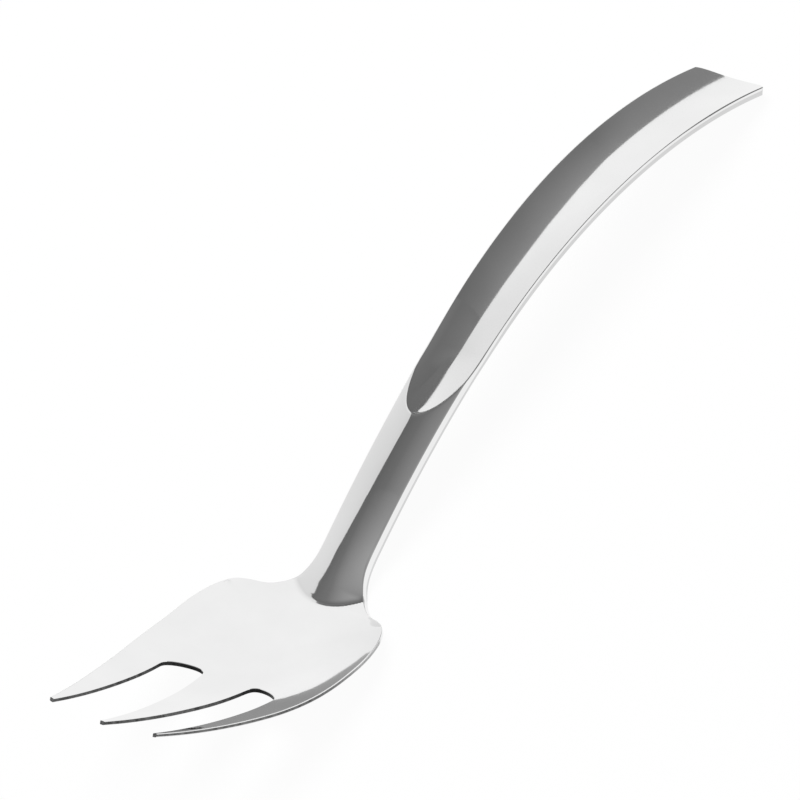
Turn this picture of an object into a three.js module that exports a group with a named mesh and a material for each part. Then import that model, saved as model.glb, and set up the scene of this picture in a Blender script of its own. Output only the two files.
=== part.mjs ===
// A three-tined serving fork, blanked and pressed from one sheet of stainless steel.
// The blank is drawn flat: s runs along the sheet from the tips of the tines to the end of the handle,
// and y runs across it. Pressing then bends the middle line, dishes the head, folds the heel along a curve
// that leaves the neck crowned, and sinks the handle into a trough that starts as a rounded tongue.
// Millimetres and degrees. The fork lies on its heel and on the end of its handle, with +Z up.
import * as THREE from 'three';
import { mergeVertices } from 'three/addons/utils/BufferGeometryUtils.js';

// Bends of the middle line, from the tips back. A level head has its lowest point at angle 0.
const tipAngle = -17.3;
const tineBendLength = 31.5;
const tineBendRadius = 202;
const bowlLength = 48.2;
const bowlRadius = 91.6;
const heelAngle = 26.7;
const heelRadius = 4;
const neckLength = 76.7;
const neckRadius = 310.6;
const handleLength = 108.6;
const handleRadius = 156.8;

// Outline of the blank.
const tipSpan = 30.4;
const headWidth = 51.4;
const neckWidth = 14.8;
const gripWidth = 20.3;
const shoulderWidth = 38.6;
const widestBeforeHeel = 18.2;
const shoulderBeforeHeel = 0.85;
const shoulderSlope = 1.85;
const neckAfterHeel = 15.7;
const gripBeforeEnd = 8.2;
const endRound = 3.9;
const endSquareness = 2.25;

// The two slots, which leave three tapered tines.
const slotDepth = 46.5;
const slotRootLength = 5;
const slotRootShift = 2.7;
const middleTipWidth = 1.1;
const middleRootWidth = 11.9;
const middleWaist = 0.29;
const sideTipWidth = 1;
const sideRootWidth = 8.8;
const sideBow = 0.12;

// Pressed sections.
const dishRadiusAtTips = 87;
const dishRadiusAtHeel = 75.6;
const dishFadeBefore = 9.3;
const dishFadeAfter = 6.5;
const dishFadeBend = 40;
const neckCrown = 2;
const foldHalfWidth = 9.9;
const troughDepth = 1.2;
const tongueFromHeel = 48.4;
const tongueLength = 20;
const creaseSoftness = 0.06;

// Thickness of the sheet, which is rolled thinner at the head, and the polished round on its edges.
const tipThickness = 0.9;
const headThickness = 1.1;
const neckThickness = 2.2;
const handleThickness = 2.1;
const edgeRound = 0.35;

// Rows along each stretch and columns across each tine's strip.
const tineRows = 10;
const rootRows = 8;
const headRows = 13;
const heelRows = 26;
const neckRows = 10;
const tongueRows = 14;
const handleRows = 22;
const sideColumns = 5;
const middleColumns = 6;

// Stations along the sheet that follow from the sizes.
const rad = THREE.MathUtils.degToRad;
const heelLength = heelRadius * rad(heelAngle);
const headLength = tineBendLength + bowlLength;
const heelEnd = headLength + heelLength;
const totalLength = heelEnd + neckLength + handleLength;
const widestAt = headLength - widestBeforeHeel;
const shoulderAt = headLength - shoulderBeforeHeel;
const neckAt = headLength + neckAfterHeel;
const heelZone = headLength - 3;
const gripAt = totalLength - gripBeforeEnd;
const slotStraight = slotDepth - slotRootLength;
const tongueAt = heelEnd + tongueFromHeel;
const tongueEnd = tongueAt + tongueLength;

const bends = [
  { length: tineBendLength, curvature: 1 / tineBendRadius },
  { length: bowlLength, curvature: 1 / bowlRadius },
  { length: heelLength, curvature: 1 / heelRadius },
  { length: neckLength, curvature: -1 / neckRadius },
  { length: handleLength, curvature: -1 / handleRadius },
];

function mix(a, b, t) {
  return a + (b - a) * t;
}

function ease(from, to, s) {
  return THREE.MathUtils.smoothstep(s, from, to);
}

// The middle line at s: its place in the plane of symmetry and its slope. Each bend adds one chord.
function middleLine(s) {
  let x = 0;
  let z = 0;
  let angle = rad(tipAngle);
  let left = s;
  for (const bend of bends) {
    const run = Math.min(left, bend.length);
    const turn = run * bend.curvature;
    const chord = 2 * Math.sin(turn / 2) / bend.curvature;
    x += chord * Math.cos(angle + turn / 2);
    z += chord * Math.sin(angle + turn / 2);
    angle += turn;
    left -= run;
    if (left <= 0) break;
  }
  return { x, z, angle };
}

// Half the outline: the flaring tines, the round shoulder, the waist of the neck, and the widening grip.
function bezier(points) {
  return new THREE.CubicBezierCurve(...points.map(([s, y]) => new THREE.Vector2(s, y)));
}
const outline = [
  bezier([
    [0, tipSpan / 2],
    [widestAt * 0.68, headWidth / 2 + 1],
    [widestAt * 0.77, headWidth / 2],
    [widestAt, headWidth / 2],
  ]),
  bezier([
    [widestAt, headWidth / 2],
    [mix(widestAt, shoulderAt, 0.22), headWidth / 2],
    [shoulderAt - 3, shoulderWidth / 2 + 3 * shoulderSlope],
    [shoulderAt, shoulderWidth / 2],
  ]),
  bezier([
    [shoulderAt, shoulderWidth / 2],
    [shoulderAt + 3, shoulderWidth / 2 - 3 * shoulderSlope],
    [mix(shoulderAt, neckAt, 0.18), neckWidth / 2],
    [neckAt, neckWidth / 2],
  ]),
  bezier([
    [neckAt, neckWidth / 2],
    [mix(neckAt, gripAt, 0.47), neckWidth / 2],
    [mix(neckAt, gripAt, 0.54), gripWidth / 2],
    [gripAt, gripWidth / 2],
  ]),
];

function halfWidth(s) {
  if (s >= gripAt) return gripWidth / 2;
  const curve = outline.find((piece) => s <= piece.v3.x);
  let low = 0;
  let high = 1;
  for (let step = 0; step < 40; step += 1) {
    const middle = (low + high) / 2;
    if (curve.getPoint(middle).x < s) low = middle;
    else high = middle;
  }
  return curve.getPoint(low).y;
}

// Edges of the slot on one side: the middle tine's edge and the side tine's inner edge.
// Past the straight stretch the two close on each other in a rounded root.
function slotEdges(s) {
  const t = s / slotStraight;
  const bow = 4 * t * (1 - t);
  const rootOuter = halfWidth(slotStraight) - sideRootWidth;
  const inner = mix(middleTipWidth / 2, middleRootWidth / 2, t) - middleWaist * bow;
  const outer = mix(tipSpan / 2 - sideTipWidth, rootOuter, t) + sideBow * bow;
  const into = Math.max(0, (s - slotStraight) / slotRootLength);
  const centre = (inner + outer) / 2 - slotRootShift * into * into;
  const half = (outer - inner) / 2 * Math.sqrt(Math.max(0, 1 - into * into));
  return [centre - half, centre + half];
}

// How far the heel's fold alone has lifted a straight sheet at s.
function lift(s) {
  const t = (s - headLength) / heelLength;
  if (t <= 0) return 0;
  return rad(heelAngle) * heelLength * (t < 1 ? t * t / 2 : t - 0.5);
}

// Height of the upper face above the middle line, square to the sheet. The dish holds the head's rims up.
// The fold of the heel is a curve that comes later toward the sides, so the neck behind it is crowned, with
// its ridge on the middle line. The tongue is where the trough, as it deepens, first cuts that crown.
function rise(s, y) {
  const half = halfWidth(s);
  const across = (y / half) ** 2;
  const radius = mix(dishRadiusAtTips, dishRadiusAtHeel, Math.min(1, s / headLength));
  const back = s - y * y / (2 * dishFadeBend);
  const dish = (1 - ease(headLength - dishFadeBefore, headLength + dishFadeAfter, back)) * y * y / (2 * radius);
  const later = neckCrown / rad(heelAngle) * (y / Math.min(half, foldHalfWidth)) ** 2;
  const crown = lift(s - later) - lift(s);
  const t = (s - tongueAt) / tongueLength;
  const sunk = t < 0 ? 2 * t : Math.min(1, t) * (2 - Math.min(1, t));
  const trough = troughDepth * across - (neckCrown + troughDepth) * sunk;
  const gap = (crown - trough) / 2;
  return dish + (crown + trough) / 2 - Math.hypot(gap, creaseSoftness);
}

function thickness(s) {
  const atHead = mix(tipThickness, headThickness, Math.min(1, s / slotDepth));
  const atNeck = mix(atHead, neckThickness, ease(shoulderAt - 14, neckAt, s));
  return mix(atNeck, handleThickness, ease(tongueAt, tongueAt + 3 * tongueLength, s));
}

// How far the round on an edge drops the face, at a distance from that edge.
function roundDrop(radius, distance) {
  const inside = Math.max(0, radius - distance);
  return radius - Math.sqrt(radius * radius - inside * inside);
}

// Rows along the sheet. In the slot's root they crowd toward its end, where the edges turn across.
const rows = [];
function addRows(count, from, to, spacing = (t) => t) {
  for (let i = 0; i < count; i += 1) rows.push(mix(from, to, spacing(i / count)));
}
addRows(tineRows, 0, slotStraight);
addRows(rootRows, slotStraight, slotDepth, (t) => Math.sin(t * Math.PI / 2));
addRows(headRows, slotDepth, heelZone);
addRows(heelRows, heelZone, neckAt);
addRows(neckRows, neckAt, tongueAt);
addRows(tongueRows, tongueAt, tongueEnd);
const slotRow = tineRows + rootRows;
const endZone = totalLength - 2 * endRound;
addRows(handleRows, tongueEnd, endZone);
const endRow = rows.length;
rows.push(endZone, totalLength - endRound, totalLength - edgeRound, totalLength - 0.3 * edgeRound, totalLength);

// Places across one row, as three strips that part at the slots and join behind them.
function stripsAt(row) {
  const s = rows[row];
  const half = halfWidth(s);
  const joined = halfWidth(slotDepth);
  const edges = row < slotRow ? slotEdges(s) : slotEdges(slotDepth).map((y) => y * half / joined);
  const round = Math.min(edgeRound, 0.3 * (half - edges[1]), 0.45 * thickness(s));
  const side = [];
  for (let j = 0; j <= sideColumns; j += 1) side.push(mix(edges[1], half - round, j / sideColumns));
  side.push(half - 0.3 * round, half);
  const middle = [];
  for (let j = 0; j <= middleColumns; j += 1) middle.push(mix(-edges[0], edges[0], j / middleColumns));
  return { half, round, strips: [side.map((y) => -y).reverse(), middle, side] };
}

// The end of the handle is a full, nearly square curve: rows bend toward it from the start of the end zone.
function endReach(s, y) {
  if (s <= endZone) return s;
  const u = Math.abs(y) / (gripWidth / 2);
  const drop = endRound * (1 - Math.pow(Math.max(0, 1 - Math.pow(u, endSquareness)), 1 / endSquareness));
  return s - drop * (s - endZone) / (totalLength - endZone);
}

// A point of the formed sheet: depth 0 is the upper face and depth 1 the lower one.
function formed(s, y, depth, drop) {
  const { x, z, angle } = middleLine(s);
  const inset = depth === 0 ? -drop : drop;
  const height = rise(s, y) - depth * thickness(s) + inset;
  return [x - height * Math.sin(angle), y, z + height * Math.cos(angle)];
}

// The skin of the sheet: both faces, the outer edges, the walls of the slots, the tips and the end.
const positions = [];
const triangles = [];
function addPoint(point) {
  positions.push(...point);
  return positions.length / 3 - 1;
}
function addQuad(a, b, c, d) {
  triangles.push(a, b, c, a, c, d);
}

const grid = rows.map((s, row) => {
  const { half, round, strips } = stripsAt(row);
  const endDrop = row > endRow ? roundDrop(edgeRound, totalLength - s) : 0;
  return strips.map((strip, index) => strip.map((y) => {
    const fromEdge = index === 1 ? round : half - Math.abs(y);
    const drop = Math.max(endDrop, roundDrop(round, fromEdge));
    const reach = endReach(s, y);
    return [addPoint(formed(reach, y, 0, drop)), addPoint(formed(reach, y, 1, drop))];
  }));
});

for (let index = 0; index < 3; index += 1) {
  const last = grid[0][index].length - 1;
  for (let row = 0; row + 1 < rows.length; row += 1) {
    const near = grid[row][index];
    const far = grid[row + 1][index];
    for (let j = 0; j < last; j += 1) {
      addQuad(near[j][0], far[j][0], far[j + 1][0], near[j + 1][0]);
      addQuad(near[j][1], near[j + 1][1], far[j + 1][1], far[j][1]);
    }
    const split = row < slotRow;
    if (split || index === 0) addQuad(near[0][0], near[0][1], far[0][1], far[0][0]);
    if (split || index === 2) addQuad(near[last][0], far[last][0], far[last][1], near[last][1]);
  }
  const tip = grid[0][index];
  const end = grid[rows.length - 1][index];
  for (let j = 0; j < last; j += 1) {
    addQuad(tip[j][0], tip[j + 1][0], tip[j + 1][1], tip[j][1]);
    addQuad(end[j][0], end[j][1], end[j + 1][1], end[j + 1][0]);
  }
}

let sheet = new THREE.BufferGeometry();
sheet.setAttribute('position', new THREE.Float32BufferAttribute(positions, 3));
sheet.setIndex(triangles);
sheet = mergeVertices(sheet, 0.0005);
sheet.computeVertexNormals();

// How the fork lies on a table: turned until the lowest point of its front half, the heel,
// and the lowest point of its rear half, under the end of the handle, are level.
const half = middleLine(totalLength).x / 2;
function lowest(turn, keep) {
  const best = new THREE.Vector3(0, 0, Infinity);
  let place = null;
  for (let i = 0; i < positions.length; i += 3) {
    const point = new THREE.Vector3(positions[i], positions[i + 1], positions[i + 2]);
    if (!keep(point.x)) continue;
    const height = point.z * Math.cos(turn) - point.x * Math.sin(turn);
    if (height < best.z) {
      best.z = height;
      place = point;
    }
  }
  return place;
}
let pitch = 0;
for (let pass = 0; pass < 8; pass += 1) {
  const heel = lowest(pitch, (x) => x < half);
  const tail = lowest(pitch, (x) => x >= half);
  pitch = Math.atan2(tail.z - heel.z, tail.x - heel.x);
}

const steel = new THREE.MeshStandardMaterial({ color: 0xdcdee0, roughness: 0.12, metalness: 1 });
const fork = new THREE.Mesh(sheet, steel);
fork.name = 'fork';
fork.rotation.y = pitch;
fork.updateMatrixWorld();

// The origin is under the middle of the fork, on the table.
const box = new THREE.Box3().setFromObject(fork, true);
fork.position.set(-(box.min.x + box.max.x) / 2, 0, -box.min.z);

const servingFork = new THREE.Group();
servingFork.name = 'serving_fork';
servingFork.add(fork);

export default servingFork;
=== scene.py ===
# A three-tined serving fork pressed from one sheet of stainless steel, on a white table.
# The sheet is formed here from the same sizes as the solid, with a fine mesh, polished edges and
# raw punched slot walls, with painted shade in the slots' roots. Lengths are in millimetres until a mesh is
# written, in metres.
import math

import bmesh
import bpy
import numpy as np
from mathutils import Matrix, Vector


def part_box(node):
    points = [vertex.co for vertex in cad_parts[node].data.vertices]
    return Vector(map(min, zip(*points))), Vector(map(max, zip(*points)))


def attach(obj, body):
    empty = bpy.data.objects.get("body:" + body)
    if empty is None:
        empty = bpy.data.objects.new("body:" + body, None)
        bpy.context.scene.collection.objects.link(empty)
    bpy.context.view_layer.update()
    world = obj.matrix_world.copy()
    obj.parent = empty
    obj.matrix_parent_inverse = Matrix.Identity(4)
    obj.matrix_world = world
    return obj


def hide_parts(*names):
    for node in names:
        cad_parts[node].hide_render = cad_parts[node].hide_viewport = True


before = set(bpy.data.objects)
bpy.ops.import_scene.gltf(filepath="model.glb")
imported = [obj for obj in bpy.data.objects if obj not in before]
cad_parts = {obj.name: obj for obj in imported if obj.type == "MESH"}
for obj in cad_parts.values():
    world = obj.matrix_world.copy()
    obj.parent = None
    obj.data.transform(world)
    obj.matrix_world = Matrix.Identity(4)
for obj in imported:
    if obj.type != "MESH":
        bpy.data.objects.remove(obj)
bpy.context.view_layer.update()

MM = 0.001

# Bends of the middle line, from the tips back. A level head has its lowest point at angle 0.
TIP_ANGLE = math.radians(-17.3)
TINE_BEND_LENGTH = 31.5
TINE_BEND_RADIUS = 202
BOWL_LENGTH = 48.2
BOWL_RADIUS = 91.6
HEEL_ANGLE = math.radians(26.7)
HEEL_RADIUS = 4
NECK_LENGTH = 76.7
NECK_RADIUS = 310.6
HANDLE_LENGTH = 108.6
HANDLE_RADIUS = 156.8

# Outline of the blank. The reaches say how far its curves keep their direction.
TIP_SPAN = 30.4
HEAD_WIDTH = 51.4
NECK_WIDTH = 14.8
GRIP_WIDTH = 20.3
SHOULDER_WIDTH = 38.6
SHOULDER_SLOPE = 1.85
WIDEST_BEFORE_HEEL = 18.2
SHOULDER_BEFORE_HEEL = 0.85
NECK_AFTER_HEEL = 15.7
GRIP_BEFORE_END = 8.2
END_ROUND = 3.9
END_SQUARENESS = 2.25
TINE_REACHES = (0.68, 0.77)
TINE_BULGE = 1
WIDEST_REACH = 0.22
SHOULDER_REACH = 3
NECK_REACH = 0.18
GRIP_REACHES = (0.47, 0.54)
CURVE_STEPS = 600

# The slots between the tines.
SLOT_DEPTH = 46.5
SLOT_ROOT = 5.0
SLOT_SHIFT = 2.7
MIDDLE_TIP = 1.1
MIDDLE_ROOT = 11.9
MIDDLE_WAIST = 0.29
SIDE_TIP = 1.0
SIDE_ROOT = 8.8
SIDE_BOW = 0.12

# Pressed sections.
DISH_AT_TIPS = 87
DISH_AT_HEEL = 75.6
DISH_FADE_BEFORE = 9.3
DISH_FADE_AFTER = 6.5
DISH_FADE_BEND = 40
CROWN = 2.0
FOLD_HALF = 9.9
TROUGH = 1.2
TONGUE_FROM_HEEL = 48.4
TONGUE_LENGTH = 20
CREASE = 0.06

# Thickness of the sheet, which is rolled thinner at the head.
TIP_THICK = 0.9
HEAD_THICK = 1.1
NECK_THICK = 2.2
HANDLE_THICK = 2.1
THICKER_BEFORE_SHOULDER = 14

# Finish of the edges: rounds, which are taller than wide on the handle and stay within a share of a tine's
# width and of the thickness, and the broken corners of the slots. The guard is a narrow strip beside the
# rounds, which keeps the smooth shading from widening them.
HEAD_ROUND = 0.2
NECK_ROUND = 0.85
HANDLE_ROUND = 0.36
HANDLE_TALL = 2.0
ROUND_AFTER_HEEL = 1
NECK_ROUND_AFTER_HEEL = 10
WIDTH_SHARE = 0.3
THICKNESS_SHARE = 0.45
SLOT_BREAK = 0.1
GUARD = 0.08
SHEARED_PAST_WIDEST = 11

# How the fork lies: turned about Y from the level head, onto its heel and the end of its handle.
PITCH = math.radians(24.9596)

# Stations along the sheet that follow from the sizes.
HEEL_LENGTH = HEEL_RADIUS * HEEL_ANGLE
HEAD_LENGTH = TINE_BEND_LENGTH + BOWL_LENGTH
HEEL_END = HEAD_LENGTH + HEEL_LENGTH
TOTAL = HEEL_END + NECK_LENGTH + HANDLE_LENGTH
WIDEST_AT = HEAD_LENGTH - WIDEST_BEFORE_HEEL
SHEARED_TO = WIDEST_AT + SHEARED_PAST_WIDEST
SHOULDER_AT = HEAD_LENGTH - SHOULDER_BEFORE_HEEL
NECK_AT = HEAD_LENGTH + NECK_AFTER_HEEL
GRIP_AT = TOTAL - GRIP_BEFORE_END
END_ZONE = TOTAL - 2 * END_ROUND
SLOT_STRAIGHT = SLOT_DEPTH - SLOT_ROOT
BROKEN_DEPTH = SLOT_DEPTH + SLOT_BREAK
TONGUE_AT = HEEL_END + TONGUE_FROM_HEEL
TONGUE_END = TONGUE_AT + TONGUE_LENGTH
HANDLE_EDGE_AT = TONGUE_AT + 2 * TONGUE_LENGTH
HANDLE_THICK_AT = TONGUE_AT + 3 * TONGUE_LENGTH
BENDS = [
    (TINE_BEND_LENGTH, 1 / TINE_BEND_RADIUS),
    (BOWL_LENGTH, 1 / BOWL_RADIUS),
    (HEEL_LENGTH, 1 / HEEL_RADIUS),
    (NECK_LENGTH, -1 / NECK_RADIUS),
    (HANDLE_LENGTH, -1 / HANDLE_RADIUS),
]


def mix(a, b, t):
    return a + (b - a) * t


def ease(a, b, s):
    t = np.clip((s - a) / (b - a), 0, 1)
    return t * t * (3 - 2 * t)


def middle_line(s):
    """Place and slope of the middle line at s. Each bend adds one chord."""
    s = np.asarray(s, float)
    x = np.zeros_like(s)
    z = np.zeros_like(s)
    angle = np.full_like(s, TIP_ANGLE)
    left = s.copy()
    for length, curvature in BENDS:
        run = np.clip(left, 0, length)
        turn = run * curvature
        chord = 2 * np.sin(turn / 2) / curvature
        x = x + chord * np.cos(angle + turn / 2)
        z = z + chord * np.sin(angle + turn / 2)
        angle = angle + turn
        left = left - run
    return x, z, angle


def bezier(points):
    t = np.linspace(0, 1, CURVE_STEPS)[:, None]
    a, b, c, d = np.array(points, float)
    return (1 - t) ** 3 * a + 3 * (1 - t) ** 2 * t * b + 3 * (1 - t) * t**2 * c + t**3 * d


# Half the outline: the flaring tines, the round shoulder, the waist of the neck, and the widening grip.
OUTLINE = np.vstack([
    bezier([
        (0, TIP_SPAN / 2),
        (WIDEST_AT * TINE_REACHES[0], HEAD_WIDTH / 2 + TINE_BULGE),
        (WIDEST_AT * TINE_REACHES[1], HEAD_WIDTH / 2),
        (WIDEST_AT, HEAD_WIDTH / 2),
    ]),
    bezier([
        (WIDEST_AT, HEAD_WIDTH / 2),
        (mix(WIDEST_AT, SHOULDER_AT, WIDEST_REACH), HEAD_WIDTH / 2),
        (SHOULDER_AT - SHOULDER_REACH, SHOULDER_WIDTH / 2 + SHOULDER_REACH * SHOULDER_SLOPE),
        (SHOULDER_AT, SHOULDER_WIDTH / 2),
    ]),
    bezier([
        (SHOULDER_AT, SHOULDER_WIDTH / 2),
        (SHOULDER_AT + SHOULDER_REACH, SHOULDER_WIDTH / 2 - SHOULDER_REACH * SHOULDER_SLOPE),
        (mix(SHOULDER_AT, NECK_AT, NECK_REACH), NECK_WIDTH / 2),
        (NECK_AT, NECK_WIDTH / 2),
    ]),
    bezier([
        (NECK_AT, NECK_WIDTH / 2),
        (mix(NECK_AT, GRIP_AT, GRIP_REACHES[0]), NECK_WIDTH / 2),
        (mix(NECK_AT, GRIP_AT, GRIP_REACHES[1]), GRIP_WIDTH / 2),
        (GRIP_AT, GRIP_WIDTH / 2),
    ]),
])


def half_width(s):
    return np.interp(s, OUTLINE[:, 0], OUTLINE[:, 1])


def slot_edges(s, grow=0.0):
    """The middle tine's edge and the side tine's inner edge, with the slot grown all round."""
    t = s / SLOT_STRAIGHT
    bow = 4 * t * (1 - t)
    root_outer = half_width(SLOT_STRAIGHT) - SIDE_ROOT
    inner = mix(MIDDLE_TIP / 2, MIDDLE_ROOT / 2, t) - MIDDLE_WAIST * bow - grow
    outer = mix(TIP_SPAN / 2 - SIDE_TIP, root_outer, t) + SIDE_BOW * bow + grow
    into = max(0.0, (s - SLOT_STRAIGHT) / (SLOT_ROOT + grow))
    centre = (inner + outer) / 2 - SLOT_SHIFT * into * into
    half = (outer - inner) / 2 * math.sqrt(max(0.0, 1 - into * into))
    return centre - half, centre + half


def lift(s):
    """How far the heel's bend alone has lifted a straight sheet at s."""
    t = (s - HEAD_LENGTH) / HEEL_LENGTH
    return HEEL_ANGLE * HEEL_LENGTH * np.where(t < 0, 0, np.where(t < 1, t * t / 2, t - 0.5))


def rise(s, y):
    """Height of the upper face above the middle line, square to the sheet. The fold of the heel comes
    later toward the sides, which leaves the neck crowned."""
    half = half_width(s)
    across = (y / half) ** 2
    radius = mix(DISH_AT_TIPS, DISH_AT_HEEL, np.minimum(1, s / HEAD_LENGTH))
    back = s - y * y / (2 * DISH_FADE_BEND)
    fade = ease(HEAD_LENGTH - DISH_FADE_BEFORE, HEAD_LENGTH + DISH_FADE_AFTER, back)
    dish = (1 - fade) * y * y / (2 * radius)
    later = CROWN / HEEL_ANGLE * (y / np.minimum(half, FOLD_HALF)) ** 2
    crown = lift(s - later) - lift(s)
    t = (s - TONGUE_AT) / TONGUE_LENGTH
    full = np.minimum(1, t)
    sunk = np.where(t < 0, 2 * t, full * (2 - full))
    trough = TROUGH * across - (CROWN + TROUGH) * sunk
    return dish + (crown + trough) / 2 - np.hypot((crown - trough) / 2, CREASE)


def thickness(s):
    head = mix(TIP_THICK, HEAD_THICK, np.minimum(1, s / SLOT_DEPTH))
    neck = mix(head, NECK_THICK, ease(SHOULDER_AT - THICKER_BEFORE_SHOULDER, NECK_AT, s))
    return mix(neck, HANDLE_THICK, ease(TONGUE_AT, HANDLE_THICK_AT, s))


def edge_round(s):
    """Width of the rounds on the edges of the sheet."""
    neck = ease(HEEL_END + ROUND_AFTER_HEEL, HEEL_END + NECK_ROUND_AFTER_HEEL, s)
    return mix(mix(HEAD_ROUND, NECK_ROUND, neck), HANDLE_ROUND, ease(TONGUE_AT, HANDLE_EDGE_AT, s))


def edge_tall(s):
    """How much taller than wide these rounds are."""
    return mix(1.0, HANDLE_TALL, ease(TONGUE_AT, HANDLE_EDGE_AT, s))


def formed(s, y, lower, drop):
    """A point of the formed sheet, with a level head: lower 0 is the upper face and 1 the lower one."""
    x, z, angle = middle_line(s)
    height = rise(s, y) - lower * thickness(s) + np.where(lower > 0.5, drop, -drop)
    return np.stack([x - height * np.sin(angle), y, z + height * np.cos(angle)], -1)


def lay_down(points):
    """From the level head to the way the fork lies, before its origin is set."""
    c, s = math.cos(PITCH), math.sin(PITCH)
    x, y, z = np.moveaxis(np.asarray(points, float), -1, 0)
    return np.stack([x * c + z * s, y, z * c - x * s], -1)


# Rows of the mesh along each stretch, columns across each strip, and steps round an edge. In the slots'
# roots the rows crowd toward the end, where the edges turn across.
TINE_ROWS = 70
ROOT_ROWS = 22
HEAD_ROWS = 110
NECK_ROWS = 60
TONGUE_ROWS = 70
TONGUE_LEAD = 2
HANDLE_ROWS = 120
END_ROWS = 16
SIDE_COLUMNS = 18
MIDDLE_COLUMNS = 22
ROUND_STEPS = 8


def stretch(start, end, count):
    return list(np.linspace(start, end, count, endpoint=False))


root_turns = np.sin(np.linspace(0, math.pi / 2, ROOT_ROWS, endpoint=False))
end_turns = [math.sin(math.pi / 2 * k / ROUND_STEPS) for k in range(ROUND_STEPS + 1)]
end_guard = TOTAL - HANDLE_ROUND - GUARD
tine_rows = stretch(0, SLOT_STRAIGHT, TINE_ROWS)
wall_rows = tine_rows + [SLOT_STRAIGHT + SLOT_ROOT * t for t in root_turns] + [SLOT_DEPTH]
face_rows = tine_rows + [SLOT_STRAIGHT + (SLOT_ROOT + SLOT_BREAK) * t for t in root_turns]
SLOT_ROW = len(face_rows)
face_rows += stretch(BROKEN_DEPTH, NECK_AT, HEAD_ROWS)
face_rows += stretch(NECK_AT, TONGUE_AT - TONGUE_LEAD, NECK_ROWS)
face_rows += stretch(TONGUE_AT - TONGUE_LEAD, TONGUE_END, TONGUE_ROWS)
face_rows += stretch(TONGUE_END, END_ZONE, HANDLE_ROWS)
face_rows += stretch(END_ZONE, end_guard, END_ROWS) + [end_guard]
END_ROW = len(face_rows)
face_rows += [TOTAL - HANDLE_ROUND * (1 - t) for t in end_turns]


def round_drop(radius, distance):
    """How far a rounded edge has dropped at a distance from the edge."""
    inside = max(0.0, radius - distance)
    return radius - math.sqrt(max(0.0, radius * radius - inside * inside))


def end_reach(s, y):
    """The handle's end is a nearly square curve that the last rows bend toward."""
    if s <= END_ZONE:
        return s
    u = min(1.0, abs(y) / (GRIP_WIDTH / 2))
    drop = END_ROUND * (1 - (1 - u**END_SQUARENESS) ** (1 / END_SQUARENESS))
    return s - drop * (s - END_ZONE) / (TOTAL - END_ZONE)


def row_points(row):
    """Columns of one row as (s, y, drop) in three strips. Ahead of the slots' ends, a strip's slot side
    has one more column, the broken corner at the top of the slot's wall."""
    s = face_rows[row]
    half = float(half_width(s))
    if row < SLOT_ROW:
        inner, outer = slot_edges(s, SLOT_BREAK)
    else:
        apex = slot_edges(BROKEN_DEPTH, SLOT_BREAK)[1]
        inner = outer = apex * half / float(half_width(BROKEN_DEPTH))
    edge = min(float(edge_round(s)), WIDTH_SHARE * (half - outer), THICKNESS_SHARE * float(thickness(s)))
    tall = float(edge_tall(s))
    end_drop = round_drop(HANDLE_ROUND, TOTAL - s) if row >= END_ROW else 0.0
    side = [(y, 0.0) for y in np.linspace(outer, half - edge - GUARD, SIDE_COLUMNS)]
    side.append((half - edge, 0.0))
    for t in end_turns[1:]:
        side.append((half - edge * (1 - t), round_drop(edge, edge * (1 - t)) * tall))
    middle = [(y, 0.0) for y in np.linspace(-inner, inner, MIDDLE_COLUMNS + 1)]
    strips = [[(-y, drop) for y, drop in reversed(side)], middle, side]
    strips = [[(end_reach(s, y), y, max(drop, end_drop)) for y, drop in strip] for strip in strips]
    if row <= SLOT_ROW:
        wall = wall_rows[row]
        near, far = slot_edges(wall)
        strips[0].append((wall, -far, SLOT_BREAK))
        strips[1].insert(0, (wall, -near, SLOT_BREAK))
        strips[1].append((wall, near, SLOT_BREAK))
        strips[2].insert(0, (wall, far, SLOT_BREAK))
    return strips


# Order of the materials on the fork.
POLISHED, PUNCHED_AND_ROOT_SHADE, SHEARED = 0, 1, 2


def fork_mesh():
    """The skin of the sheet: both faces, the outer edges, the slots' walls, the tips and the end."""
    points, faces, slots = [], [], []
    grid = []
    for row in range(len(face_rows)):
        strips = []
        for strip in row_points(row):
            start = len(points)
            points.extend((s, y, 0.0, drop) for s, y, drop in strip)
            points.extend((s, y, 1.0, drop) for s, y, drop in strip)
            strips.append((start, len(strip)))
        grid.append(strips)

    def ids(row, index, trim):
        """A strip's points on the upper and lower face, without its broken corners if it is trimmed."""
        start, count = grid[row][index]
        columns = list(range(count))
        if trim and row <= SLOT_ROW:
            columns = columns[index > 0: count - (index < 2)]
        return [(start + j, start + count + j) for j in columns]

    def quad(corners, slot):
        faces.append(corners)
        slots.append(slot)

    for row in range(len(face_rows) - 1):
        split = row < SLOT_ROW
        outer = SHEARED if face_rows[row] < SHEARED_TO else POLISHED
        for index in range(3):
            near = ids(row, index, not split)
            far = ids(row + 1, index, not split)
            for j in range(len(near) - 1):
                quad((near[j][0], far[j][0], far[j + 1][0], near[j + 1][0]), POLISHED)
                quad((near[j][1], near[j + 1][1], far[j + 1][1], far[j][1]), POLISHED)
            if split or index == 0:
                wall = PUNCHED_AND_ROOT_SHADE if index > 0 else outer
                quad((near[0][0], near[0][1], far[0][1], far[0][0]), wall)
            if split or index == 2:
                wall = PUNCHED_AND_ROOT_SHADE if index < 2 else outer
                quad((near[-1][0], far[-1][0], far[-1][1], near[-1][1]), wall)
    for index in range(3):
        tip = ids(0, index, False)
        end = ids(len(face_rows) - 1, index, True)
        for j in range(len(tip) - 1):
            quad((tip[j][0], tip[j + 1][0], tip[j + 1][1], tip[j][1]), PUNCHED_AND_ROOT_SHADE)
        for j in range(len(end) - 1):
            quad((end[j][0], end[j][1], end[j + 1][1], end[j + 1][0]), POLISHED)

    s, y, lower, drop = np.array(points).T
    placed = lay_down(formed(s, y, lower, drop))
    return placed, faces, slots


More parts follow.
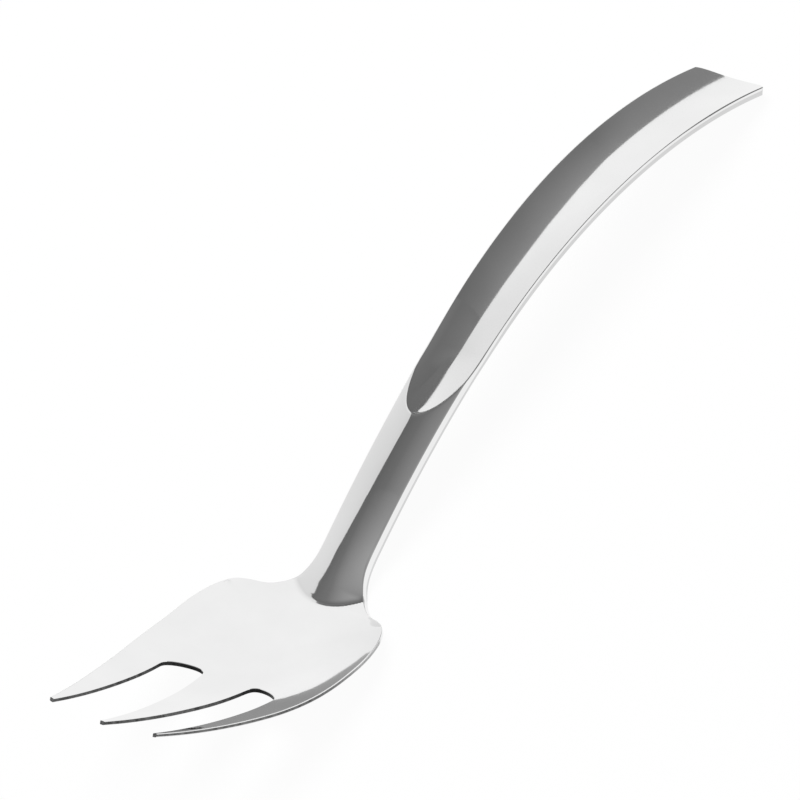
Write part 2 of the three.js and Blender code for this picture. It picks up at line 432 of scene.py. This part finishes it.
placed, faces, slots = fork_mesh()
low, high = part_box("fork")
shift = np.array([
    (low[0] + high[0]) / 2 / MM - (placed[:, 0].min() + placed[:, 0].max()) / 2,
    0.0,
    low[2] / MM - placed[:, 2].min(),
])


def to_frame(points):
    """From a level head, in millimetres, to the row's frame, in metres."""
    return (lay_down(points) + shift) * MM


def new_object(name, vertices, polygons):
    mesh = bpy.data.meshes.new(name)
    mesh.from_pydata([tuple(v) for v in vertices], [], polygons)
    mesh.update()
    obj = bpy.data.objects.new(name, mesh)
    bpy.context.scene.collection.objects.link(obj)
    return obj


# Tools for the materials.
def add(tree, kind, **inputs):
    node = tree.nodes.new(kind)
    for key, value in inputs.items():
        node.inputs[key.replace("_", " ")].default_value = value
    return node


def combine(tree, operation, first, second):
    node = add(tree, "ShaderNodeMath")
    node.operation = operation
    tree.links.new(first, node.inputs[0])
    tree.links.new(second, node.inputs[1])
    return node.outputs["Value"]


def remap(tree, value, low_in, high_in, low_out, high_out):
    node = add(
        tree, "ShaderNodeMapRange",
        From_Min=low_in, From_Max=high_in, To_Min=low_out, To_Max=high_out,
    )
    tree.links.new(value, node.inputs["Value"])
    return node.outputs["Result"]


def ramp(tree, value, places, greys):
    node = add(tree, "ShaderNodeValToRGB")
    for point, place, grey in zip(node.color_ramp.elements, places, greys):
        point.position = place
        point.color = (grey, grey, grey, 1)
    tree.links.new(value, node.inputs["Fac"])
    return node.outputs["Color"]


def noise(tree, place, scale, scale_xyz, detail, roughness):
    mapping = add(tree, "ShaderNodeMapping", Scale=scale_xyz)
    tree.links.new(place, mapping.inputs["Vector"])
    node = add(tree, "ShaderNodeTexNoise", Scale=scale, Detail=detail, Roughness=roughness)
    tree.links.new(mapping.outputs["Vector"], node.inputs["Vector"])
    return node.outputs["Fac"]


def steel(name):
    """A bare metal, its node tree, its shader and the place on the fork that its textures follow."""
    material = bpy.data.materials.new(name)
    material.use_nodes = True
    tree = material.node_tree
    shader = tree.nodes["Principled BSDF"]
    shader.inputs["Metallic"].default_value = 1.0
    place = add(tree, "ShaderNodeTexCoord").outputs["Object"]
    return material, tree, shader, place


def bump(tree, shader, height, strength, depth):
    node = add(tree, "ShaderNodeBump", Strength=strength, Distance=depth)
    tree.links.new(height, node.inputs["Height"])
    tree.links.new(node.outputs["Normal"], shader.inputs["Normal"])


# The part of a noise that is spread over a range of greys or of roughness, and these ranges.
NOISE_SPREAD = (0.3, 0.7)
GRAIN_SPREAD = (0.35, 0.65)
POLISHED_GREYS = (0.835, 0.875)
POLISHED_ROUGHNESS = (0.035, 0.075)
CUT_ROUGHNESS = (0.4, 0.65)


def polished_steel():
    """Mirror-polished steel, with faint clouds in its shade and fine lines along the fork."""
    material, tree, shader, place = steel("polished_steel")
    clouds = noise(tree, place, scale=55, scale_xyz=(1, 1, 1), detail=3, roughness=0.55)
    lines = noise(tree, place, scale=260, scale_xyz=(0.35, 6, 6), detail=6, roughness=0.6)
    tree.links.new(ramp(tree, clouds, NOISE_SPREAD, POLISHED_GREYS), shader.inputs["Base Color"])
    tree.links.new(remap(tree, lines, *NOISE_SPREAD, *POLISHED_ROUGHNESS), shader.inputs["Roughness"])
    bump(tree, shader, lines, strength=0.012, depth=0.02 * MM)
    return material


def cut_steel(name, behind, ahead, between):
    """A bare punched or sheared edge, dull and streaked. Its darkest and lightest grey change from behind to
    ahead, between two places along the fork."""
    material, tree, shader, place = steel(name)
    grain = noise(tree, place, scale=800, scale_xyz=(1, 1, 0.35), detail=5, roughness=0.7)
    parts = add(tree, "ShaderNodeSeparateXYZ")
    tree.links.new(place, parts.inputs["Vector"])
    along = remap(tree, parts.outputs["X"], between[0] * MM, between[1] * MM, 0, 1)
    rear = ramp(tree, grain, GRAIN_SPREAD, behind)
    front = ramp(tree, grain, GRAIN_SPREAD, ahead)
    blend = add(tree, "ShaderNodeMix")
    blend.data_type = "RGBA"
    tree.links.new(along, blend.inputs[0])
    tree.links.new(rear, blend.inputs[6])
    tree.links.new(front, blend.inputs[7])
    tree.links.new(blend.outputs[2], shader.inputs["Base Color"])
    tree.links.new(remap(tree, grain, *NOISE_SPREAD, *CUT_ROUGHNESS), shader.inputs["Roughness"])
    bump(tree, shader, grain, strength=0.4, depth=0.06 * MM)
    return material


WELD = 0.0002
SHARP_ANGLE = math.radians(30)
fork = new_object("fork_skin", (placed + shift) * MM, faces)
# The punched walls' near-black greys behind, toward the slots' roots, are painted shade in the roots over
# the raw punched grey.
for finish in (
    polished_steel(),
    cut_steel("punched_steel_and_root_shade", behind=(0.006, 0.02), ahead=(0.05, 0.2), between=(-86, -98)),
    cut_steel("sheared_edge", behind=(0.6, 0.8), ahead=(0.08, 0.26), between=(-56, -84)),
):
    fork.data.materials.append(finish)
fork.data.polygons.foreach_set("material_index", slots)
weld = bmesh.new()
weld.from_mesh(fork.data)
bmesh.ops.remove_doubles(weld, verts=weld.verts, dist=WELD * MM)
weld.to_mesh(fork.data)
weld.free()
fork.data.polygons.foreach_set("use_smooth", [True] * len(fork.data.polygons))
fork.data.set_sharp_from_angle(angle=SHARP_ANGLE)
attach(fork, "root")
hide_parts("fork")

# The camera of the photograph, found from the fork's outline. Its place is given beside a level head.
AZIMUTH = math.radians(37.288)
ELEVATION = math.radians(25.18)
DISTANCE = 2600
PIXELS_PER_MM = 4.36
AIM = np.array([115.0, 0.0, 25.0])
AIM_PIXEL = np.array([414.86, 444.78])
FRAME_PIXELS = 800
SENSOR = 36
CLIP_END = 50000


def add_camera():
    toward = np.array([
        -math.cos(AZIMUTH) * math.cos(ELEVATION),
        -math.sin(AZIMUTH) * math.cos(ELEVATION),
        math.sin(ELEVATION),
    ])
    image_right = np.array([math.sin(AZIMUTH), -math.cos(AZIMUTH), 0.0])
    image_up = np.cross(toward, image_right)
    eye = AIM + DISTANCE * toward
    offset = (FRAME_PIXELS / 2 - AIM_PIXEL) / PIXELS_PER_MM
    centre = AIM + offset[0] * image_right - offset[1] * image_up
    back = (eye - centre) / np.linalg.norm(eye - centre)
    side = np.cross(image_up, back)
    side /= np.linalg.norm(side)
    lens = bpy.data.cameras.new("camera")
    lens.sensor_width = SENSOR
    lens.lens = SENSOR * PIXELS_PER_MM * DISTANCE / FRAME_PIXELS
    lens.clip_end = CLIP_END * MM
    camera = bpy.data.objects.new("camera", lens)
    turn = Matrix(lay_down([side, np.cross(back, side), back])).transposed()
    camera.matrix_world = Matrix.Translation(Vector(to_frame(eye))) @ turn.to_4x4()
    bpy.context.scene.collection.objects.link(camera)
    bpy.context.scene.camera = camera


add_camera()


# The studio. Its cards are plain, stand clear of the fork, and are seen only in the steel: glowing sheets,
# no lamps, whose greys are painted reflections.
def glow(name, again):
    """A glowing paint in the greys of the card, which the steel shows as a painted reflection and a second
    reflection shows again times as bright.
    """
    material = bpy.data.materials.new(name)
    material.use_nodes = True
    tree = material.node_tree
    tree.nodes.clear()
    paint = add(tree, "ShaderNodeAttribute")
    paint.attribute_name = "shade"
    light = add(tree, "ShaderNodeEmission")
    tree.links.new(paint.outputs["Color"], light.inputs["Color"])
    path = add(tree, "ShaderNodeLightPath")
    strength = remap(tree, path.outputs["Glossy Depth"], 1, 2, 1, again)
    tree.links.new(strength, light.inputs["Strength"])
    out = add(tree, "ShaderNodeOutputMaterial")
    tree.links.new(light.outputs["Emission"], out.inputs["Surface"])
    return material


def card(name, rows, again=1):
    """A card through rows of corners, each with x, y and z in the row's frame and a grey. A single row is
    the card's outline."""
    columns = len(rows[0])
    if len(rows) == 1:
        polygons = [range(columns)]
    else:
        starts = [r * columns + c for r in range(len(rows) - 1) for c in range(columns - 1)]
        polygons = [(k, k + 1, k + columns + 1, k + columns) for k in starts]
    corners = np.array([corner for row in rows for corner in row], float)
    board = new_object(name, corners[:, :3] * MM, polygons)
    shade = board.data.color_attributes.new("shade", "FLOAT_COLOR", "POINT")
    for point, grey in zip(shade.data, corners[:, 3]):
        point.color = (grey, grey, grey, 1)
    board.data.materials.append(glow(name, again))
    board.visible_camera = False
    board.visible_diffuse = False
    board.visible_shadow = False
    board.visible_transmission = False
    board.visible_volume_scatter = False


# The ceiling's left edge, from the rear to the front, its rows from that edge to the right, with their
# greys, and where these change. All places are shares of its height. A row without a place is the edge.
CEILING = 1500
CEILING_SHIFT = -10
CEILING_EDGE = [
    (0.71, 0.7), (0.68, 0.75), (0.62, 0.765), (0.471, 0.745), (0.32, 0.715), (0.285, 0.712), (0.2, 0.712),
    (0.12, 0.7), (0.085, 0.678), (0.048, 0.683), (0.017, 0.701), (-0.045, 0.757), (-0.075, 0.8),
    (-0.101, 0.872), (-0.124, 0.96), (-0.13, 1.04), (-0.15, 1.02), (-0.3, 0.9), (-0.4, 0.84),
]
CEILING_ROWS = [(None, 0.135), (0.22, 0.17), (-0.2, 0.26), (-0.9, 0.42)]
CEILING_GAIN_AT = (-0.4, -0.14)
CEILING_GAIN = (2, 1)
EDGE_PAINTED_LIGHT_AT = (0.085, 0.27, 0.45)
EDGE_PAINTED_LIGHT = (0, 0.09, 0)
CEILING_AGAIN = 7


def ceiling_card():
    """A dark card high over the table, seen only in the steel, whose greys paint dark reflections on the
    neck and the handle; paler toward the right and the front, with painted light on a part of its edge."""
    rows = []
    for across, grey in CEILING_ROWS:
        row = []
        for x, edge_y in CEILING_EDGE:
            y = edge_y if across is None else across
            painted_light = np.interp(x, EDGE_PAINTED_LIGHT_AT, EDGE_PAINTED_LIGHT) if across is None else 0
            shade = grey * np.interp(x, CEILING_GAIN_AT, CEILING_GAIN) + painted_light
            row.append((x * CEILING + CEILING_SHIFT, y * CEILING, CEILING, shade))
        rows.append(row)
    card("card_ceiling", rows, CEILING_AGAIN)


# The near cards hang at one height. Each corner of the handle's card has a grey in each of its three rows.
NEAR = 75
HANDLE_CARD = [
    (40, 38.9, NEAR, (0.24, 0.15, 0.1)),
    (60, 40.3, NEAR, (0.27, 0.155, 0.1)),
    (97, 45.2, NEAR, (0.295, 0.16, 0.1)),
    (130, 52.5, NEAR, (0.3, 0.165, 0.12)),
    (165, 63, NEAR, (0.28, 0.165, 0.2)),
    (165, 26, 0, (0.25, 0.165, 0.2)),
]
HANDLE_CARD_BAND = 28
HANDLE_CARD_RIGHT = -70


def handle_card():
    """A dark card over the rear half of the handle, with a leg behind its end, whose greys paint the dark
    reflection on the handle.
    """
    card("card_handle", [
        [(x, y, z, greys[0]) for x, y, z, greys in HANDLE_CARD],
        [(x, y - HANDLE_CARD_BAND, z, greys[1]) for x, y, z, greys in HANDLE_CARD],
        [(x, HANDLE_CARD_RIGHT, z, greys[2]) for x, y, z, greys in HANDLE_CARD],
    ])


# The rows of the neck's card have a grey over the heel and one over the neck.
NECK_CARD_EDGE = [
    (-30, 51), (-35, 53.5), (-40, 59), (-46, 64.5), (-50, 67), (-56, 69), (-65, 69), (-76, 64.5),
]
NECK_CARD_ROWS = [(None, 0.145, 0.145), (36, 0.19, 0.148), (10, 0.31, 0.19), (-25, 0.42, 0.295)]
NECK_CARD_BLEND = (-65, -30)


def neck_card():
    """A dark card over the neck and the heel, paler toward the right and the heel, whose greys paint the
    dark reflection on the neck and the heel.
    """
    rows = []
    for across, *greys in NECK_CARD_ROWS:
        rows.append([
            (x, y if across is None else across, NEAR, np.interp(x, NECK_CARD_BLEND, greys))
            for x, y in NECK_CARD_EDGE
        ])
    card("card_neck", rows)


FLAG_HEIGHT = 40
FLAG = [
    (8, 13, 0.15), (17.3, 13, 0.18), (17.3, 15.2, 0.19),
    (15.8, 18.3, 0.165), (15, 20.5, 0.145), (8, 17.9, 0.145),
]


def flag_card():
    """A small dark flag above and beside the start of the handle's trough, which paints a dark reflection on
    the trough's start.
    """
    card("card_flag", [[(x, y, FLAG_HEIGHT, grey) for x, y, grey in FLAG]])


# The left wall, with a grey at the table and one at its top for each place along it.
LEFT_WALL = 1800
LEFT_WALL_HEIGHT = 2700
LEFT_WALL_GREYS = [(-900, 0.86, 0.73), (430, 0.86, 0.73), (900, 0.9, 0.88), (1700, 1.0, 1.0)]


def left_card():
    """A pale backdrop on the left, seen only in the steel, whose greys paint the pale reflection on the
    neck's left half; it fades out toward the handle's end.
    """
    card("card_left", [
        [(x, LEFT_WALL, 0, low_grey) for x, low_grey, high_grey in LEFT_WALL_GREYS],
        [(x, LEFT_WALL, LEFT_WALL_HEIGHT, high_grey) for x, low_grey, high_grey in LEFT_WALL_GREYS],
    ])


# Backdrops given by directions in degrees, azimuth and elevation, from the head's right edge. Where they
# reach below the table, the steel still shows them, because it doesn't show the table.
HEAD_RIGHT = (-75, -22, 10)
BACKDROP = 1500
LOW_EDGE = [
    (42.3, -9.5, 0.33), (44.4, -8.6, 0.34), (46.5, -5.8, 0.36),
    (48.9, -0.7, 0.38), (52.3, 4.3, 0.4), (56, 4.3, 0.4),
]
LOW_ROWS = [(-14, 0.3), (-35, 0.16)]
RIGHT_AZIMUTHS = (-100, -75, -50, -25, 0)
RIGHT_ELEVATIONS = (-34, -75)
RIGHT_GREY = 0.765
LIGHT_DISTANCE = 4000
LIGHT_AZIMUTHS = (30, 50, 70)
LIGHT_ELEVATIONS = (25, 42, 60)
LIGHT_GREY = 1.0


def far_corner(azimuth, elevation, grey, distance=BACKDROP):
    a, e = math.radians(azimuth), math.radians(elevation)
    level = distance * math.cos(e)
    x, y, z = HEAD_RIGHT
    return x + level * math.cos(a), y + level * math.sin(a), z + distance * math.sin(e), grey


def low_card():
    """A grey backdrop low behind the head, on the left, whose greys paint the grey band on the head's right
    rim.
    """
    rows = [[far_corner(*corner) for corner in LOW_EDGE]]
    rows += [[far_corner(corner[0], elevation, grey) for corner in LOW_EDGE] for elevation, grey in LOW_ROWS]
    card("card_low", rows)


def right_card():
    """A pale grey board low on the right, seen only in the steel, whose grey is a painted reflection."""
    card("card_right", [[far_corner(a, e, RIGHT_GREY) for a in RIGHT_AZIMUTHS] for e in RIGHT_ELEVATIONS])


def light_card():
    """A white glowing card far behind on the left, no lamp, seen only in the steel: a painted reflection of
    a light.
    """
    card("card_light", [
        [far_corner(a, e, LIGHT_GREY, LIGHT_DISTANCE) for a in LIGHT_AZIMUTHS] for e in LIGHT_ELEVATIONS
    ])


ceiling_card()
handle_card()
neck_card()
flag_card()
left_card()
low_card()
right_card()
light_card()

# The table, the world and the lamp.
WHITE = (1, 1, 1, 1)
TABLE_HALF = 3000
TABLE_GAP = 0.2
TABLE_COLOUR = (0.98, 0.98, 0.98, 1)
TABLE_GLOW = 0.5
TABLE_GLOW_SEEN = 0.92
WORLD_LEVEL = 0.6
WORLD_SEEN = 1.0
WORLD_TWICE = 0.65
LAMP_PLACE = (200, 300, 1600)
LAMP_SIZE = 1200
LAMP_WATTS = 13


def white_table():
    """A matte table that shows white to the camera and keeps a soft shadow."""
    half = TABLE_HALF * MM
    corners = [(-half, -half, 0), (half, -half, 0), (half, half, 0), (-half, half, 0)]
    floor = new_object("table", corners, [(0, 1, 2, 3)])
    floor.location.z = -TABLE_GAP * MM
    material = bpy.data.materials.new("table")
    material.use_nodes = True
    tree = material.node_tree
    tree.nodes.clear()
    matte = add(tree, "ShaderNodeBsdfDiffuse", Color=TABLE_COLOUR)
    white = add(tree, "ShaderNodeEmission", Color=WHITE)
    path = add(tree, "ShaderNodeLightPath")
    share = remap(tree, path.outputs["Is Camera Ray"], 0, 1, TABLE_GLOW, TABLE_GLOW_SEEN)
    blend = add(tree, "ShaderNodeMixShader")
    tree.links.new(share, blend.inputs["Fac"])
    tree.links.new(matte.outputs["BSDF"], blend.inputs[1])
    tree.links.new(white.outputs["Emission"], blend.inputs[2])
    out = add(tree, "ShaderNodeOutputMaterial")
    tree.links.new(blend.outputs["Shader"], out.inputs["Surface"])
    floor.data.materials.append(material)
    floor.visible_glossy = False


def studio_world():
    """White to the camera and in the steel, dimmer as light and in second reflections."""
    world = bpy.data.worlds.new("studio")
    world.use_nodes = True
    tree = world.node_tree
    background = tree.nodes["Background"]
    background.inputs["Color"].default_value = WHITE
    path = add(tree, "ShaderNodeLightPath")
    seen = combine(tree, "MAXIMUM", path.outputs["Is Camera Ray"], path.outputs["Is Glossy Ray"])
    level = remap(tree, seen, 0, 1, WORLD_LEVEL, WORLD_SEEN)
    twice = remap(tree, path.outputs["Glossy Depth"], 1, 2, 0, WORLD_TWICE)
    tree.links.new(combine(tree, "SUBTRACT", level, twice), background.inputs["Strength"])
    bpy.context.scene.world = world


def overhead_lamp():
    lamp = bpy.data.lights.new("overhead", "AREA")
    lamp.shape = "DISK"
    lamp.size = LAMP_SIZE * MM
    lamp.energy = LAMP_WATTS
    overhead = bpy.data.objects.new("overhead", lamp)
    overhead.location = Vector(LAMP_PLACE) * MM
    overhead.rotation_euler = (-overhead.location).to_track_quat("-Z", "Y").to_euler()
    overhead.visible_glossy = False
    bpy.context.scene.collection.objects.link(overhead)


white_table()
studio_world()
overhead_lamp()

bpy.context.scene.view_settings.view_transform = "Standard"
